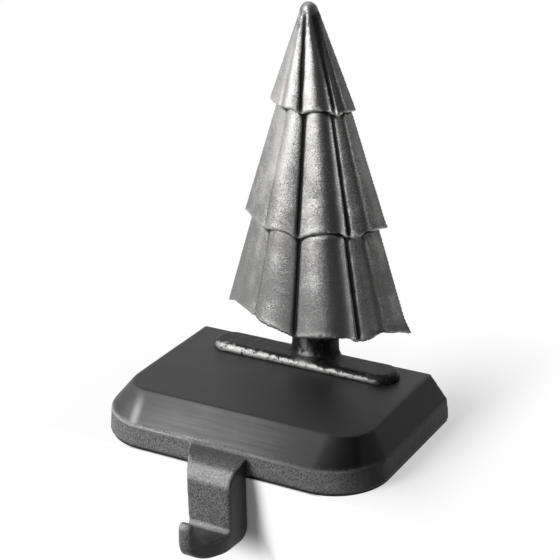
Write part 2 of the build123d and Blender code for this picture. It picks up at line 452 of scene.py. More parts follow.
@dataclass(frozen=True)
class DarkIron:
    """Blackened sand-cast iron: satin on top, brushed on the front slope, grainy on wall and hook, with
    painted highlights on the slope's left, its rim, corner crease and the hook's shoulder, and painted
    shade on the right and on faces turned from the light.
    """

    name: str = "dark_iron"
    satin: Colour = grey(0.013)
    brushed: Colour = grey(0.15)
    # Dark pits of the sand casting, also used for the painted shade on the wall's right
    pits_and_shade: Colour = grey(0.035)
    grainy: Colour = grey(0.22)
    # Light metal for rubbed wear and for painted highlights on the rim, the corner crease and the hook's
    # shoulder
    bare_and_glint: Colour = grey(0.38)
    # Near-black for painted shade on the right of the slope and on faces turned from the light
    shade_black: Colour = grey(0.004)
    cloudy: Grain = Grain(0.05, 4.0, 0.55)
    strokes: Grain = Grain(1.0, 5.0, 0.62, (0.03, 0.6, 1.0))
    rim_height: float = 9.65
    edge_height: float = 9.85
    edge_width: float = 1.2
    # Where the left mask rises, for the painted highlight on the slope and its rim
    left_glint_reach: Span = (42.0, -18.0)
    polish_start: Span = (-52.0, -43.0)
    polish_fade: Span = (-8.0, -44.0)
    polish_fall: Span = (19.0, 10.0)
    crease_start: float = -46.6
    crease_lean: float = 0.2
    crease_width: float = 3.0
    crease_fall: Span = (19.0, 13.0)
    right_slope_shade_reach: Span = (27.5, 42.5)
    strap_top: Span = (8.6, 7.0)
    cup: Span = (-15.6, -16.8)
    root_top: Span = (-50.0, -39.0)
    cast_end: Span = (56.0, 43.0)
    right_wall_shade_reach: Span = (-10.0, 40.0)
    hook_lift: Span = (0.0, -4.0)
    turned_away_foot: Span = (0.0, 1.5)
    turned_away_reach: Span = (20.0, 50.0)
    hollow_foot: Span = (-13.0, -10.0)
    grain_depth: float = 0.3

    def material(self) -> bpy.types.Material:
        """Makes the finish.

        Returns:
            The material, for a skin that carries hollow and ridge marks.
        """
        board = Board.material(self.name)
        place = board.millimetres()
        across, depth, height = board.axes(place)
        _, backward, upward = board.axes(board.add("ShaderNodeTexCoord", output="Normal"))
        forward = 0.0 - backward
        hollow, ridge = board.mark(Mark.HOLLOW), board.mark(Mark.RIDGE)
        cloud, sand, streaks = (board.noise(place, grain) for grain in (self.cloudy, SAND, self.strokes))
        speckle = sand.rise(0.37, 0.63)

        wall = (self.rim_height + (cloud - 0.5) * 1.6 + (sand - 0.5) * 2.0 - height).rise(-0.9, 0.2)
        slope = (1.0 - wall) * forward.rise(0.22, 0.5) * upward.rise(0.3, 0.6)
        # Brushed streaks on the front slope, painted brighter towards the left as a highlight
        left = across.rise(*self.left_glint_reach)
        brushing_and_glint = slope * (streaks * 0.5 + (cloud - 0.5) * 0.4 + left * 0.42 - 0.02).rise(0.12, 0.95)
        brushing_and_glint = brushing_and_glint * left.rise(0.0, 0.35) * (0.35 + across.rise(*self.polish_start) * 0.65)
        brushing_and_glint = brushing_and_glint * (1.0 - across.rise(*self.polish_fade) * 0.35)
        brushing_and_glint = brushing_and_glint * (0.8 + height.rise(*self.polish_fall) * 0.4)
        # Painted highlight along the crease at the left corner of the front slope
        crease_glint = (across + depth * self.crease_lean).near(self.crease_start, self.crease_width)
        crease_glint = crease_glint * slope * height.rise(*self.crease_fall)
        # Rubbed line along the slope's lower edge: wear, with a painted highlight that is stronger on the
        # left
        edge = height.near(self.edge_height, self.edge_width) * forward.rise(0.1, 0.45)
        edge = edge * (0.1 + left * 0.9) * (ridge * 0.7 + (sand - 0.5) * 4.5).rise(-0.2, 0.7)
        # Painted shade on the right part of the front slope, which turns from the light
        right_slope_shade = across.rise(*self.right_slope_shade_reach) * forward.rise(0.15, 0.5) * (1.0 - wall)

        # Faces turned sideways or down, and the right end, lose their grain for the dark satin: painted
        # shade. The cradle floor and the hook's top slope take the satin too
        side = forward.rise(0.7, 0.35) * upward.rise(0.6, 0.2) | upward.rise(-0.15, -0.5)
        # Hook's rounded shoulder lightened: partly rubbed wear, partly a painted highlight where it faces
        # the light
        shoulder_wear_and_glint = forward.rise(0.2, 0.45) * upward.rise(0.04, 0.35) * height.rise(*self.strap_top)
        level = upward.rise(0.8, 0.96) * wall * depth.rise(*self.root_top)
        cast = wall * (1.0 - side * 0.95) * (1.0 - height.rise(*self.cup) * 0.8) * (1.0 - level * 0.75)
        cast = cast * (0.12 + across.rise(*self.cast_end) * 0.88)
        # Painted shade on the wall's faces turned sideways or down, towards the right
        turned_away_shade = side * wall * height.rise(*self.turned_away_foot) * across.rise(*self.turned_away_reach) * 0.6
        colour = board.mix(cast, self.satin, board.mix(speckle, self.grainy, self.pits_and_shade))
        layers = (
            # Painted light: the hook's smooth faces below the ledge top are lightened
            (height.rise(*self.hook_lift) * (1.0 - cast) * 0.15, self.brushed),
            # Painted shade: the grainy wall darkens towards the right
            (cast * across.rise(*self.right_wall_shade_reach) * 0.3, self.pits_and_shade),
            ((right_slope_shade * 0.92) | turned_away_shade, self.shade_black),
            (shoulder_wear_and_glint * cast * (1.0 - speckle * 0.6), self.bare_and_glint),
            (brushing_and_glint * 0.85, self.brushed),
            (edge | (crease_glint * 0.6), self.bare_and_glint),
            (hollow.rise(0.3, 0.95) * height.rise(*self.hollow_foot) * 0.8, self.satin),
        )
        for share, layer in layers:
            colour = board.mix(share, colour, layer)
        rough = 0.46 + (cloud - 0.5) * 0.12 + cast * 0.1 - brushing_and_glint * 0.06 - edge * 0.08
        relief = sand * (0.06 + cast * 0.94) + streaks * slope * 0.12
        return board.surface(
            {
                "Base Color": colour,
                "Metallic": (edge * 0.9) | (brushing_and_glint * 0.5) | turned_away_shade | (right_slope_shade.rise(0.75, 1.0) * 0.4),
                "Roughness": rough + (streaks - 0.5) * slope * 0.2,
                "Specular IOR Level": 0.32,
                "Normal": board.bump(relief, self.grain_depth),
            }
        )


@dataclass(frozen=True)
class PadRubber:
    """Black rubber sheet, ribbed underneath."""

    name: str = "pad_rubber"
    black: Colour = grey(0.008)
    dusty: Colour = grey(0.03)
    dust: Grain = Grain(0.2, 5.0, 0.65)
    fine: Grain = Grain(1.8, 3.0)
    rib_scale: float = 0.16
    rib_depth: float = 0.3
    underside: Span = (0.4, 0.2)
    grain_depth: float = 0.05

    def material(self) -> bpy.types.Material:
        """Makes the finish.

        Returns:
            The material.
        """
        board = Board.material(self.name)
        place = board.millimetres()
        dust, grain = (board.noise(place, pattern) for pattern in (self.dust, self.fine))
        bands = {"wave_type": "BANDS", "bands_direction": "DIAGONAL"}
        sockets = {"Vector": place, "Scale": self.rib_scale, "Distortion": 0.0}
        ribs = board.add("ShaderNodeTexWave", bands, sockets)
        ribbed = board.bump(ribs * board.axes(place)[2].rise(*self.underside), self.rib_depth)
        return board.surface(
            {
                "Base Color": board.mix(dust.rise(0.5, 0.8) * 0.6, self.black, self.dusty),
                "Roughness": 0.78 + (grain - 0.5) * 0.2,
                "Normal": board.bump(grain, self.grain_depth, ribbed),
            }
        )


@dataclass(frozen=True)
class ScrewSteel:
    """Zinc-grey turned steel."""

    name: str = "screw_steel"
    steel: Colour = grey(0.52)
    tarnish: Colour = grey(0.3, 0.03)
    cloudy: Grain = Grain(0.5, 4.0, 0.6)
    turned: Grain = Grain(1.0, 2.0, 0.5, (0.15, 0.15, 5.0))
    groove_depth: float = 0.02

    def material(self) -> bpy.types.Material:
        """Makes the finish.

        Returns:
            The material.
        """
        board = Board.material(self.name)
        place = board.millimetres()
        cloud, turning = (board.noise(place, grain) for grain in (self.cloudy, self.turned))
        return board.surface(
            {
                "Base Color": board.mix(cloud.rise(0.35, 0.7), self.tarnish, self.steel),
                "Metallic": 1.0,
                "Roughness": 0.3 + (turning - 0.5) * 0.2 + (cloud - 0.5) * 0.1,
                "Normal": board.bump(turning, self.groove_depth),
            }
        )


@dataclass(frozen=True)
class LedgePaint:
    """White paint that stays white to the eye and to metal, and still takes a shadow."""

    name: str = "ledge_paint"
    white: Colour = grey(0.82)
    front_glow: float = 0.06
    shadow_depth: float = 0.37
    shadow_left: Span = (15.0, 60.0)
    shadow_right: Span = (90.0, 66.0)
    shadow_front: Span = (-38.0, -12.0)
    shadow_back: Span = (140.0, 40.0)
    contact: float = 0.1
    contact_reach: Span = (62.0, 115.0)
    lip_left: Span = (-44.0, -39.0)
    lip_right: Span = (44.0, 39.0)
    lip_back: Span = (-34.0, -34.5)
    hook_slant: float = 0.15
    right_of_hook: Span = (13.4, 20.4)
    left_of_hook: Span = (-8.0, -14.0)
    under_hook: Span = (-22.0, -38.0)
    below_top: Span = (-0.01, -0.05)

    def material(self) -> bpy.types.Material:
        """Makes the finish.

        Returns:
            The material.
        """
        board = Board.material(self.name)
        place = board.millimetres()
        across, depth, height = board.axes(place)
        distance = board.add("ShaderNodeVectorMath", {"operation": "LENGTH"}, {0: place}, output="Value")
        shadow = across.rise(*self.shadow_right) * across.rise(*self.shadow_left)
        shadow = shadow * depth.rise(*self.shadow_back) * depth.rise(*self.shadow_front)
        top = 1.0 - shadow * self.shadow_depth - (1.0 - distance.rise(*self.contact_reach)) * self.contact
        lip = depth.rise(*self.lip_back) * across.rise(*self.lip_right) * across.rise(*self.lip_left)
        front = (across + height * self.hook_slant).rise(*self.right_of_hook)
        front = front | across.rise(*self.left_of_hook) | height.rise(*self.under_hook)
        below = height.rise(*self.below_top)
        face = self.front_glow + front * (1.0 - self.front_glow)
        glow = top * (1.0 - lip) * (1.0 - below) + face * below
        paint = board.add("ShaderNodeBsdfDiffuse", {}, {"Color": self.white})
        light = board.add("ShaderNodeEmission", {}, {"Strength": 1.0})
        both = board.add("ShaderNodeMixShader", {}, {0: seen_rays(board) * glow, 1: paint, 2: light})
        board.add("ShaderNodeOutputMaterial", {}, {"Surface": both})
        return board.owner


def seen_rays(board: Board) -> Wire:
    """Mask of the rays that look at the surroundings: straight, mirrored or through glass."""
    path = board.add("ShaderNodeLightPath", output="Is Camera Ray")
    return path | path.out("Is Glossy Ray") | path.out("Is Transmission Ray")


class CastSkin:
    """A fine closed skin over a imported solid, sculpted like wax before casting."""

    MERGE = 0.001 * MM
    EASE_IN = 0.5
    EASE_OUT = -0.52

    def __init__(self, solid: bpy.types.Object, voxel: float, passes: int) -> None:
        """Covers the solid.

        Args:
            solid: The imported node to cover.
            voxel: Edge of the skin's squares, in metres.
            passes: How often the fresh skin is smoothed.
        """
        self.low, self.high = (np.array(corner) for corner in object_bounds())
        heights = [corner.co.z for corner in solid.data.vertices]
        self.low[2], self.high[2] = min(heights), max(heights)
        self.mesh = self._cover(solid, voxel)
        self._smooth(passes)
        count = len(self.mesh.vertices)
        self.points = np.empty(count * 3)
        self.mesh.vertices.foreach_get("co", self.points)
        self.points = self.points.reshape(-1, 3)
        ends = np.empty(len(self.mesh.edges) * 2, dtype=np.int32)
        self.mesh.edges.foreach_get("vertices", ends)
        self.first, self.last = ends.reshape(-1, 2).T
        self.degree = np.bincount(ends, minlength=count).astype(float)[:, None]

    @staticmethod
    def _cover(solid: bpy.types.Object, voxel: float) -> bpy.types.Mesh:
        """Merges a copy of the solid's triangles and wraps it in even squares.

        Args:
            solid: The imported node.
            voxel: Edge of the squares, in metres.

        Returns:
            The new mesh.
        """
        core = bpy.data.meshes.new("core")
        shape = bmesh.new()
        shape.from_mesh(solid.data)
        bmesh.ops.remove_doubles(shape, verts=shape.verts, dist=CastSkin.MERGE)
        shape.to_mesh(core)
        shape.free()
        wrapped = bpy.data.objects.new("core", core)
        bpy.context.scene.collection.objects.link(wrapped)
        wrap = wrapped.modifiers.new("wrap", "REMESH")
        wrap.mode = "VOXEL"
        wrap.voxel_size = voxel
        graph = bpy.context.evaluated_depsgraph_get()
        mesh = bpy.data.meshes.new_from_object(wrapped.evaluated_get(graph))
        bpy.data.objects.remove(wrapped)
        bpy.data.meshes.remove(core)
        mesh.materials.clear()
        return mesh

    def _smooth(self, passes: int) -> None:
        """Evens the fresh squares out, in and back so that edges keep their place.

        Args:
            passes: How often.
        """
        shape = bmesh.new()
        shape.from_mesh(self.mesh)
        every = {"verts": shape.verts, "use_axis_x": True, "use_axis_y": True, "use_axis_z": True}
        for _ in range(passes):
            bmesh.ops.smooth_vert(shape, factor=self.EASE_IN, **every)
            bmesh.ops.smooth_vert(shape, factor=self.EASE_OUT, **every)
        shape.to_mesh(self.mesh)
        shape.free()

    def _around(self, points: np.ndarray) -> np.ndarray:
        """Mean of each point's neighbours.

        Args:
            points: One row of coordinates a point.

        Returns:
            The means, in the same order.
        """
        count = len(points)
        total = np.empty_like(points)
        for axis in range(points.shape[1]):
            column = points[:, axis]
            total[:, axis] = np.bincount(self.first, weights=column[self.last], minlength=count)
            total[:, axis] += np.bincount(self.last, weights=column[self.first], minlength=count)
        return total / self.degree

    def normals(self) -> np.ndarray:
        """Outward direction at each point.

        Returns:
            One unit vector a point.
        """
        self.mesh.vertices.foreach_set("co", self.points.ravel())
        self.mesh.update()
        found = np.empty(len(self.points) * 3)
        self.mesh.vertex_normals.foreach_get("vector", found)
        return found.reshape(-1, 3)

    def push(self, distance: np.ndarray) -> None:
        """Moves points outward by a distance each, in metres."""
        self.points = self.points + self.normals() * distance[:, None]

    def relax(self, passes: int, share: np.ndarray) -> None:
        """Moves each point by its share towards its neighbours' mean, some passes over."""
        for _ in range(passes):
            self.points = self.points + (self._around(self.points) - self.points) * share[:, None]

    def depth(self, passes: int) -> np.ndarray:
        """How deep each point lies under its surroundings, in millimetres.

        Args:
            passes: How wide the surroundings are, in rounds of neighbours.

        Returns:
            Positive numbers in hollows and negative ones on ridges.
        """
        soft = self.points
        for _ in range(passes):
            soft = soft + (self._around(soft) - soft) * self.EASE_IN
        return np.einsum("ij,ij->i", soft - self.points, self.normals()) / MM

    def mark(self, mark: Mark, values: np.ndarray) -> None:
        """Writes a point attribute for the finish."""
        attribute = self.mesh.attributes.new(mark.value, "FLOAT", "POINT")
        attribute.data.foreach_set("value", values.astype(np.float32))

    def piece(self, name: str) -> bpy.types.Object:
        """Finishes the skin as a piece of the part.

        Args:
            name: The piece's name.

        Returns:
            The object, at the origin.
        """
        self.points = np.clip(self.points, self.low, self.high)
        self.normals()
        self.mesh.name = name
        self.mesh.shade_smooth()
        made = bpy.data.objects.new(name, self.mesh)
        bpy.context.scene.collection.objects.link(made)
        return made


def dress(piece: bpy.types.Object, node: Node, material: bpy.types.Material) -> None:
    """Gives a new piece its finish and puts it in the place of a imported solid.

    Args:
        piece: The new piece.
        node: The solid it stands for.
        material: The finish.
    """
    piece.data.materials.append(material)
    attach(piece, ROOT_BODY)
    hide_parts(node.value)
    LOG.info("%s stands for %s with %d points", piece.name, node.value, len(piece.data.vertices))


class Level(NamedTuple):
    """One height of a skirt: middle and half of its width, and how far it stands off the flat back."""

    height: float
    middle: float
    half: float
    relief: float


@dataclass(frozen=True)
class Skirt:
    """One pleated tier, from its hem to where the next one covers it, and its right groove's lean."""

    hem: Level
    top: Level
    lean: float = 0.0

    def at(self, height: np.ndarray) -> tuple[np.ndarray, ...]:
        """Middle, half width and relief at each height."""
        share = (height - self.hem.height) / (self.top.height - self.hem.height)
        return tuple(low + share * (high - low) for low, high in zip(self.hem[1:], self.top[1:]))


class Spot(NamedTuple):
    """A rounded mark on the tree: its place, half width, half height and strength, its slant and bow."""

    across: float
    height: float
    width: float
    tall: float
    strength: float
    slant: float = 0.0
    bow: float = 0.0

    def over(self, across: np.ndarray, height: np.ndarray) -> np.ndarray:
        """Strength of the mark at each point, from millimetres across and above the ledge."""
        line = self.height + (self.slant + self.bow * (across - self.across)) * (across - self.across)
        return self.strength * hill(across, self.across, self.width) * hill(height, line, self.tall)


@dataclass(frozen=True)
class TreeCasting:
    """Flat-backed relief tree on its trunk and foot bar.

    Millimetres, degrees from its right edge, and shares of the way across a panel.
    """

    back: float = 33.3
    half_turn: int = 180
    grooves: tuple[float, float, float] = (48.5, 89.0, 119.0)
    skirts: tuple[Skirt, Skirt, Skirt] = (
        Skirt(Level(34.8, 3.9, 41.4, 20.6), Level(78.2, 3.9, 27.69, 13.78)),
        Skirt(Level(74.2, 3.9, 32.9, 16.4), Level(126.0, 3.9, 15.34, 7.65)),
        Skirt(Level(122.0, 3.2, 19.6, 11.0), Level(160.9, 2.5, 3.75, 3.75), -4.0),
    )
    girth_band: Span = (8.0, 20.0)
    hem_band: Span = (-2.0, 8.0)
    hem_reach: Span = (0.95, 1.07)
    shell: Span = (0.9, 0.935)
    clear: Span = (1.06, 1.1)
    neck: Span = (12.0, 8.0)
    hem_edge: Span = (-1.2, -0.2)
    shade_foot: Span = (-2.2, -0.5)
    shade_top: Span = (0.8, 0.2)
    shade_rim: Span = (0.94, 0.9)
    shade_core: float = 0.7
    off_back: Span = (0.3, 1.2)
    overlap: float = 3.0
    lean_width: float = 14.0
    full_size: float = 30.0
    least_share: float = 0.25
    port_calm: Bell = Bell(1.0, 7.0, 0.5)
    port_passes: int = 36
    side_calm: Bell = Bell(0.0, 4.0, 0.5)
    side_passes: int = 16
    front_start: Span = (0.0, 0.08)
    front_end: Span = (1.0, 0.97)
    barrel_start: Span = (0.0, 0.1)
    barrel_end: Span = (1.0, 0.9)
    side_start: Span = (0.02, 0.1)
    front_swell: tuple[Bell, ...] = (
        Bell(0.34, 0.28, 0.7),
        Bell(0.78, 0.13, -0.7),
        Bell(0.93, 0.045, 0.45),
    )
    barrel_swell: Bell = Bell(0.42, 0.32, 0.75)
    side_swell: tuple[Bell, ...] = (Bell(0.2, 0.12, 0.45), Bell(0.42, 0.12, -0.55))
    side_rib: Bell = Bell(0.56, 0.1, 0.2)
    hem_rim: Bell = Bell(0.6, 1.2, 0.16)
    cuts: tuple[Bell, ...] = (Bell(0.0, 0.75, 0.3), Bell(0.0, 0.85, 0.3))
    cut_foot: Span = (-0.5, 2.5)
    wax: tuple[Bell, ...] = (Bell(0.0, 1.4, 0.78), Bell(0.0, 1.6, 0.78), Bell(0.0, 0.7, 0.12))
    # Painted shade that widens the dark of the top tier's right groove
    top_groove_shade: Bell = Bell(0.0, 1.5, 0.45)
    top_groove_shade_rise: Span = (118.0, 150.0)
    # Spans and bells, over shares of each panel, that place the painted shade on the pleats and the
    # lighter strips
    front_shade: Span = (0.26, 0.68)
    ridge_unshaded: Bell = Bell(0.93, 0.05, -0.7)
    barrel_shade: Span = (0.45, 1.0)
    right_panel_shade: tuple[Bell, ...] = (Bell(0.4, 0.12, 0.6), Bell(0.56, 0.08, -0.2))
    side_edge: Span = (0.0, 0.04)
    right_end_unshaded: Span = (0.6, 0.85)
    top_right_shade: Bell = Bell(0.14, 0.14, 0.5)
    top_right_shade_rise: Span = (117.0, 124.0)
    low_darkening: Span = (0.6, 0.3)
    low_darkening_fall: Span = (84.0, 60.0)
    port_darkening: Span = (0.4, 0.95)
    port_edge: Span = (0.0, 0.06)
    port_lightening: Bell = Bell(0.2, 0.15, -0.45)
    hem_wear_and_glint: Bell = Bell(0.3, 0.5, -0.5)
    worn_spots: tuple[Spot, ...] = tuple(
        Spot(across, height, 3.5, 4.5, -0.5)
        for across, height in (
            (-5.2, 66.0), (10.8, 71.0), (10.8, 59.0), (12.0, 37.0),
            (-9.0, 38.5), (-6.0, 100.0), (11.0, 80.0),
        )
    )
    tip_rise: Span = (148.0, 160.0)
    tip_mottle: Swell = Swell(0.9, 3.0, 41.0)
    swells: tuple[Swell, ...] = (
        Swell(0.16, 13.0),
        Swell(0.09, 5.5, 7.0),
        Swell(0.05, 2.2, 19.0),
        Swell(0.028, 1.2, 31.0),
    )
    skirts_start: Span = (33.0, 36.0)
    before_back: Span = (0.2, 1.5)
    dents: tuple[Spot, ...] = (
        Spot(10.8, 91.5, 2.6, 0.8, -0.13, bow=0.05),
        Spot(10.8, 89.1, 2.6, 1.6, 0.03, bow=0.05),
        Spot(30.2, 52.414, 2.0, 0.45, -0.1, slant=0.42),
        Spot(44.2, 36.6, 1.6, 1.2, 0.25),
    )
    hem_ends: tuple[tuple[Span, float], ...] = (((39.0, 44.0), 37.0), ((32.6, 36.4), 76.5))
    hem_end_shift: float = 1.1
    hem_end_tall: float = 4.5
    voxel: float = 0.48
    smoothing: int = 6
    hollow_rounds: int = 80
    ridge_rounds: int = 6
    ridge_gain: float = 5.0
    finish: AntiquePewter = AntiquePewter()

    def build(self, solid: bpy.types.Object) -> None:
        """Sculpts and dresses the casting.

        Args:
            solid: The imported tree.
        """
        skin = CastSkin(solid, self.voxel * MM, self.smoothing)
        folds, shade_and_patina = sum(self._fold(skin, skirt) for skirt in self.skirts)
        self._hammer(skin)
        tip = step(skin.points[:, 2] / MM, *self.tip_rise) * (0.6 + uneven(skin.points, self.tip_mottle))
        # The hollow mark also carries the painted shade under the hems
        skin.mark(Mark.HOLLOW, skin.depth(self.hollow_rounds) + folds)
        skin.mark(Mark.SHADE_AND_PATINA, shade_and_patina + tip)
        skin.mark(Mark.RIDGE, -skin.depth(self.ridge_rounds) * self.ridge_gain)
        dress(skin.piece("pleated_tree"), Node.TREE, self.finish.material())

    def _turn(self, skin: CastSkin, skirt: Skirt) -> tuple[np.ndarray, ...]:
        """Angle round the relief, height above the hem and share of each point on or under one skirt.

        Args:
            skin: The tree's skin.
            skirt: The tier.

        Returns:
            Degrees from the right edge, millimetres above the scalloped hem, and two masks: the skirt, and
            the strip just under its hem where shade is painted.
        """
        across, depth, height = (skin.points / MM).T
        middle, half, relief = skirt.at(height)
        out = (across - middle) / half
        off = (self.back - depth) / relief
        angle = np.degrees(np.arctan2(off, out))
        reach = np.hypot(out, off)
        turn = np.clip(np.rint(angle), 0, self.half_turn).astype(int)
        raised = height - skirt.hem.height
        band = within(raised, self.girth_band)
        girth = np.zeros(self.half_turn + 1)
        np.maximum.at(girth, turn[band], reach[band])
        reach = reach / np.interp(angle, np.arange(self.half_turn + 1), girth)
        edge = within(reach, self.hem_reach) & within(raised, self.hem_band)
        lowest = np.full(self.half_turn + 1, np.inf)
        np.minimum.at(lowest, turn[edge], height[edge])
        known = np.flatnonzero(np.isfinite(lowest))
        above = height - np.interp(angle, known, lowest[known])
        left = skirt.top.height - height
        on = step(reach, *self.shell) * (1.0 - step(reach, *self.clear) * step(left, *self.neck))
        on = on * step(above, *self.hem_edge) * step(left, 0.0, self.overlap)
        # Painted shade: a dark line on the tier just under the hem above
        under = step(above, *self.shade_foot) * step(above, *self.shade_top)
        under = under * step(reach, *self.shade_rim) * (reach > self.shade_core)
        ahead = step(off * relief, *self.off_back)
        return angle, above, on * ahead, under * ahead

    def _fold(self, skin: CastSkin, skirt: Skirt) -> np.ndarray:
        """Gives one skirt its swept pleats, ridges beside deep grooves and turned-out hem.

        Args:
            skin: The tree's skin.
            skirt: The tier.

        Returns:
            Two rows: a mask of the grooves, where wax stays, with painted shade under the hem above and
                along the top tier's right groove; and a row of painted shade on the pleat sides turned
                from the light, lighter at rubbed spots and along the hem.
        """
        angle, above, on, under = self._turn(skin, skirt)
        right, middle, left = self.grooves
        _, half, relief = skirt.at(skin.points[:, 2] / MM)
        lean = skirt.lean * hill(angle, right, self.lean_width) * on
        turn, slip = np.radians(angle), np.radians(lean)
        skin.points[:, 0] -= half * np.sin(turn) * slip * MM
        skin.points[:, 1] -= relief * np.cos(turn) * slip * MM
        angle, right = angle + lean, right + skirt.lean
        skin.relax(self.port_passes, profile(angle - left, self.port_calm) * on)
        skin.relax(self.side_passes, profile(angle - right * 0.5, self.side_calm) * on)

        height = skin.points[:, 2] / MM
        _, half, relief = skirt.at(height)
        turn = np.radians(angle)
        pace = np.radians(1.0) * np.hypot(half * np.sin(turn), relief * np.cos(turn))
        offsets = [(angle - groove) * pace for groove in (right, middle, left)]
        size = np.clip(half / self.full_size, self.least_share, 1.0)
        sweep = (middle - angle) / (middle - right)
        barrel = (left - angle) / (left - middle)
        side = (right - angle) / right
        port = (angle - left) / (self.half_turn - left)
        front = on * step(sweep, *self.front_start) * step(sweep, *self.front_end)
        middle_panel = on * step(barrel, *self.barrel_start) * step(barrel, *self.barrel_end)

        moved = front * profile(sweep, *self.front_swell)
        moved += middle_panel * profile(barrel, self.barrel_swell)
        moved += on * step(side, *self.side_start) * profile(side, *self.side_swell)
        moved += on * profile(side, self.side_rib)
        skin.push((moved * size + on * profile(above, self.hem_rim)) * MM)
        cut = sum(profile(off, bell) for off, bell in zip(offsets, self.cuts))
        cut = cut * on * (0.3 + 0.7 * size) * step(above, *self.cut_foot)
        inward = np.stack([-np.cos(turn) * 0.5, np.sin(turn), np.zeros_like(turn)], axis=1)
        skin.points = skin.points + inward * (cut * MM)[:, None]

        # Painted shade on the right part of the front panel, turned from the light; the ridge beside the
        # right groove is left light
        shade_and_tarnish = front * step(sweep, *self.front_shade) * (1.0 + profile(sweep, self.ridge_unshaded))
        # Darker towards the bottom on the front panels, near the middle groove
        shade_and_tarnish += front * 0.18 * step(height, *self.low_darkening_fall) * step(sweep, *self.low_darkening)
        # Painted shade on the middle panel's right part and on the right side panels, which turn from the
        # light; the far right end is left light
        shade_and_tarnish += on * step(barrel, *self.barrel_shade) * (barrel <= 1.0) * 0.8
        strip = 0.3 + profile(side, *self.right_panel_shade) - 0.85 * step(side, *self.right_end_unshaded)
        strip += profile(side, self.top_right_shade) * step(height, *self.top_right_shade_rise)
        shade_and_tarnish += on * step(side, *self.side_edge) * strip
        # Darker towards the left edge of the left side panel, lighter near the left groove
        strip = 0.08 + 0.24 * step(port, *self.port_darkening) + profile(port, self.port_lightening)
        shade_and_tarnish += on * step(port, *self.port_edge) * strip
        # Rubbed spots, and a lighter band along the hem: wear, with a painted highlight on the lip
        rubbed = sum(spot.over(skin.points[:, 0] / MM, height) for spot in self.worn_spots)
        shade_and_tarnish += on * (rubbed + profile(above, self.hem_wear_and_glint))
        wax = sum(profile(off, bell) for off, bell in zip(offsets, self.wax))
        # Painted shade widening the dark of the top tier's right groove
        wax += profile(offsets[0], self.top_groove_shade) * step(height, *self.top_groove_shade_rise)
        # Row one adds the painted shade under the hem to the groove wax
        return np.stack([wax * on + 0.5 * under, np.clip(shade_and_tarnish, -1.0, 1.0)])

    def _hammer(self, skin: CastSkin) -> None:
        """Adds the unevenness of a hand-finished casting and its dents, and spreads two hem ends.

        Args:
            skin: The tree's skin.
        """
        across, depth, height = (skin.points / MM).T
        front = step(self.back - depth, *self.before_back)
        skirts = step(height, *self.skirts_start)
        moved = uneven(skin.points, *self.swells) * (0.35 + 0.65 * front) * (0.45 + 0.55 * skirts)
        moved += sum(dent.over(across, height) for dent in self.dents)
        skin.push(moved * MM)
        for reach, level in self.hem_ends:
            shift = self.hem_end_shift * step(across, *reach) * hill(height, level, self.hem_end_tall)
            skin.points[:, 0] += shift * MM


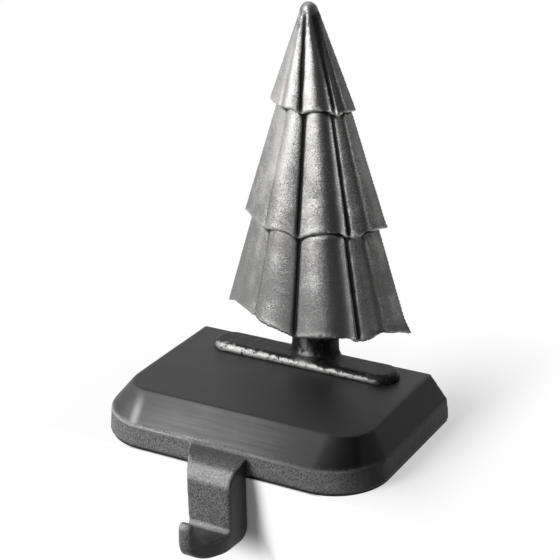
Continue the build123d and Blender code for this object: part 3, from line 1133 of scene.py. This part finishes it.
@dataclass(frozen=True)
class BaseCasting:
    """Weighted base with the hook that hangs in front of the ledge."""

    web_start: float = -31.45
    web_slant: float = 0.5
    web_foot: Span = (-6.0, 2.0)
    web_top: Span = (10.0, 8.0)
    web_front: Span = (-37.5, -39.3)
    web_left: Span = (-1.85, -5.35)
    strap_shift: float = 0.6
    strap_left: Span = (-0.85, -5.35)
    strap_top: Span = (1.0, -4.0)
    strap_foot: Span = (-17.5, -13.0)
    tip_lift: float = 1.7
    tip_front: Span = (-63.1, -64.7)
    tip_rise: Span = (-14.5, -10.5)
    tip_ease: float = 0.6
    tip_passes: int = 24
    joint_across: Bell = Bell(-8.85, 7.0, 0.5)
    joint_height: Bell = Bell(5.0, 5.0, 1.0)
    joint_foot: Span = (1.4, 2.4)
    joint_front: Span = (-36.1, -38.1)
    joint_passes: int = 6
    wall: Span = (10.65, 9.05)
    above_pad: Span = (1.2, 2.0)
    before_back: Span = (37.6, 36.6)
    swells: tuple[Swell, ...] = (Swell(0.06, 24.0), Swell(0.03, 9.0, 5.0))
    sand: tuple[Swell, ...] = (Swell(0.05, 2.4, 11.0), Swell(0.035, 1.4, 23.0))
    voxel: float = 0.62
    smoothing: int = 3
    hollow_rounds: int = 40
    ridge_rounds: int = 5
    ridge_gain: float = 8.0
    finish: DarkIron = DarkIron()

    def build(self, solid: bpy.types.Object) -> None:
        """Sculpts and dresses the casting.

        Args:
            solid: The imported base.
        """
        skin = CastSkin(solid, self.voxel * MM, self.smoothing)
        self._settle(skin)
        self._cast(skin)
        skin.mark(Mark.HOLLOW, skin.depth(self.hollow_rounds))
        skin.mark(Mark.RIDGE, -skin.depth(self.ridge_rounds) * self.ridge_gain)
        dress(skin.piece("weighted_base"), Node.BASE, self.finish.material())

    def _settle(self, skin: CastSkin) -> None:
        """Fills the web beside the hook, widens its strap, rounds its tip and softens its joint.

        Args:
            skin: The base's skin.
        """
        across, depth, height = (skin.points / MM).T
        slant = self.web_start - depth * self.web_slant
        web = step(height, *self.web_foot) * step(height, *self.web_top)
        web = web * step(depth, *self.web_front) * step(across, *self.web_left)
        skin.points[:, 0] -= web * np.clip(across - slant, 0.0, None) * MM
        strap = step(height, *self.strap_top) * step(height, *self.strap_foot)
        skin.points[:, 0] -= self.strap_shift * strap * step(across, *self.strap_left) * MM
        tip = step(depth, *self.tip_front) * step(height, *self.tip_rise)
        skin.points[:, 2] += self.tip_lift * tip * MM
        skin.relax(self.tip_passes, self.tip_ease * tip)
        joint = profile(across, self.joint_across) * profile(height, self.joint_height)
        joint = joint * step(height, *self.joint_foot) * step(depth, *self.joint_front)
        skin.relax(self.joint_passes, joint)

    def _cast(self, skin: CastSkin) -> None:
        """Adds the slight unevenness of a sand casting, stronger on wall and hook.

        Args:
            skin: The base's skin.
        """
        _, depth, height = (skin.points / MM).T
        grainy = 0.08 + 0.92 * step(height, *self.wall)
        moved = uneven(skin.points, *self.swells) + uneven(skin.points, *self.sand) * grainy
        skin.push(moved * step(height, *self.above_pad) * step(depth, *self.before_back) * MM)


@dataclass(frozen=True)
class SmallParts:
    """The solids that keep their own shape: the pad and the two screws."""

    pad_finish: PadRubber = PadRubber()
    screw_finish: ScrewSteel = ScrewSteel()

    def dress(self, nodes: Mapping[str, bpy.types.Object]) -> None:
        """Gives each solid its finish.

        Args:
            nodes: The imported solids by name.
        """
        for node, finish in ((Node.PAD, self.pad_finish), (Node.SCREWS, self.screw_finish)):
            solid = nodes[node.value]
            material = finish.material()
            for place in solid.material_slots:
                place.material = material
            LOG.info("%s keeps its shape and gets %s", node.value, finish.name)


@dataclass(frozen=True)
class SoftBox:
    """One square lamp, aimed at the part."""

    name: str
    azimuth: float
    elevation: float
    distance: float
    size: float
    watts: float

    def hang(self, target: Vector) -> None:
        """Places the lamp.

        Args:
            target: The point that it faces.
        """
        lamp = bpy.data.lights.new(self.name, "AREA")
        lamp.shape = "SQUARE"
        lamp.size = self.size
        lamp.energy = self.watts
        holder = bpy.data.objects.new(self.name, lamp)
        away = direction(self.azimuth, self.elevation)
        holder.location = target + away * self.distance
        holder.rotation_euler = away.to_track_quat("Z", "Y").to_euler()
        bpy.context.scene.collection.objects.link(holder)


def direction(azimuth: float, elevation: float) -> Vector:
    """Unit vector towards a place, in degrees from the front and above the ledge."""
    turn, rise = math.radians(azimuth), math.radians(elevation)
    return Vector((math.sin(turn) * math.cos(rise), -math.cos(turn) * math.cos(rise), math.sin(rise)))


@dataclass(frozen=True)
class Studio:
    """White ledge, lamps, a dark screen on the right and the camera. Metres."""

    ledge_front: float = -0.0379
    ledge_reach: float = 8.0
    ledge_drop: float = 2.0
    target: tuple[float, float, float] = (0.0, 0.0, 0.07)
    eye: tuple[float, float, float] = (0.28503, -0.48948, 0.29714)
    eye_azimuth: float = 29.66
    eye_elevation: float = 22.44
    eye_roll: float = -1.21
    lens: float = 104.14
    sensor: float = 36.0
    nearest: float = 0.01
    screen_radius: float = 1.8
    screen_start: float = -55.0
    screen_fade: float = 24.0
    screen_end: float = 150.0
    screen_foot: float = -65.0
    screen_rows: int = 20
    screen_columns: int = 24
    screen_dark: float = 0.91
    sky: float = 0.16
    paint: LedgePaint = LedgePaint()
    lamps: tuple[SoftBox, ...] = (
        SoftBox("key", -66.0, 52.0, 1.3, 1.0, 8.0),
        SoftBox("front", -26.0, 27.0, 1.5, 0.6, 20.0),
    )

    def build(self) -> None:
        """Sets the whole studio up."""
        self._ledge()
        self._screen()
        for lamp in self.lamps:
            lamp.hang(Vector(self.target))
        self._surroundings()
        self._camera()
        LOG.info("studio is set")

    @staticmethod
    def _stage(name: str, shape: bmesh.types.BMesh, material: bpy.types.Material) -> bpy.types.Object:
        """Turns a shape into a stage object.

        Args:
            name: The object's name.
            shape: Its mesh, which is freed.
            material: Its finish.

        Returns:
            The object.
        """
        mesh = bpy.data.meshes.new(name)
        shape.to_mesh(mesh)
        shape.free()
        mesh.materials.append(material)
        made = bpy.data.objects.new(name, mesh)
        bpy.context.scene.collection.objects.link(made)
        made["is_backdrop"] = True
        return made

    def _ledge(self) -> None:
        """Makes the mantel's top and front face."""
        shape = bmesh.new()
        middle = Matrix.Translation((0.0, self.ledge_front + self.ledge_reach, 0.0))
        bmesh.ops.create_grid(shape, x_segments=1, y_segments=1, size=self.ledge_reach, matrix=middle)
        front = min(shape.edges, key=lambda edge: sum(corner.co.y for corner in edge.verts))
        fall = bmesh.ops.extrude_edge_only(shape, edges=[front])
        corners = [part for part in fall["geom"] if isinstance(part, bmesh.types.BMVert)]
        bmesh.ops.translate(shape, verts=corners, vec=(0.0, 0.0, -self.ledge_drop))
        bmesh.ops.recalc_face_normals(shape, faces=shape.faces)
        self._stage("ledge", shape, self.paint.material())

    def _screen(self) -> None:
        """Makes the curved screen that only metal sees, white on the left and dark on the right."""
        shape = bmesh.new()
        start = direction(self.screen_start, self.screen_foot)
        foot = shape.verts.new(start * self.screen_radius)
        side = direction(self.screen_start, 0.0).cross(Vector((0.0, 0.0, 1.0)))
        climb = math.radians(90.0 - self.screen_foot)
        rib = {"cent": (0.0, 0.0, 0.0), "use_merge": False}
        bmesh.ops.spin(shape, geom=[foot], axis=side, angle=climb, steps=self.screen_rows, **rib)
        sweep = math.radians(self.screen_end - self.screen_start)
        turn = {"axis": (0.0, 0.0, 1.0), "angle": sweep, "steps": self.screen_columns}
        bmesh.ops.spin(shape, geom=[*shape.verts, *shape.edges], **turn, **rib)
        bmesh.ops.remove_doubles(shape, verts=shape.verts, dist=MM)
        board = Board.material("screen_cloth")
        across, depth, _ = board.axes(board.millimetres())
        around = board.add("ShaderNodeMath", {"operation": "ARCTAN2"}, {0: across, 1: 0.0 - depth})
        dark = around.rise(math.radians(self.screen_start), math.radians(self.screen_fade))
        light = 1.0 - dark * self.screen_dark
        cloth = board.add("ShaderNodeEmission", {}, {"Color": light, "Strength": 1.0})
        board.add("ShaderNodeOutputMaterial", {}, {"Surface": cloth})
        screen = self._stage("dark_screen", shape, board.owner)
        screen.visible_camera = False
        screen.visible_diffuse = False
        screen.visible_shadow = False

    def _surroundings(self) -> None:
        """Makes a soft even sky that looks white."""
        world = bpy.data.worlds.new("studio_air")
        bpy.context.scene.world = world
        board = Board(world)
        fill = board.add("ShaderNodeBackground", {}, {"Color": grey(1.0), "Strength": self.sky})
        white = board.add("ShaderNodeBackground", {}, {"Color": grey(1.0), "Strength": 1.0})
        both = board.add("ShaderNodeMixShader", {}, {0: seen_rays(board), 1: fill, 2: white})
        board.add("ShaderNodeOutputWorld", {}, {"Surface": both})

    def _camera(self) -> None:
        """Places the camera at the photograph's viewpoint."""
        lens = bpy.data.cameras.new("eye")
        lens.lens = self.lens
        lens.sensor_width = self.sensor
        lens.clip_start = self.nearest
        eye = bpy.data.objects.new("eye", lens)
        turn, roll = math.radians(self.eye_azimuth), math.radians(self.eye_roll)
        back = direction(self.eye_azimuth, self.eye_elevation)
        right = Vector((math.cos(turn), math.sin(turn), 0.0))
        up = back.cross(right)
        side = right * math.cos(roll) + up * math.sin(roll)
        top = up * math.cos(roll) - right * math.sin(roll)
        eye.matrix_world = Matrix.Translation(self.eye) @ Matrix((side, top, back)).transposed().to_4x4()
        bpy.context.scene.collection.objects.link(eye)
        bpy.context.scene.camera = eye


def corners(box: Sequence[Vector]) -> list[list[float]]:
    """A box's two corners as plain lists."""
    return [list(corner) for corner in box]


def main() -> None:
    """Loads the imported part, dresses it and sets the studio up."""
    logging.basicConfig(level=logging.INFO, format="%(name)s: %(message)s")
    for thing in list(bpy.data.objects):
        bpy.data.objects.remove(thing)
    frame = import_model()
    nodes = frame["nodes"]
    Studio().build()
    BaseCasting().build(nodes[Node.BASE.value])
    TreeCasting().build(nodes[Node.TREE.value])
    SmallParts().dress(nodes)
    bpy.context.scene.view_settings.view_transform = "Standard"


if __name__ == "__main__":
    main()
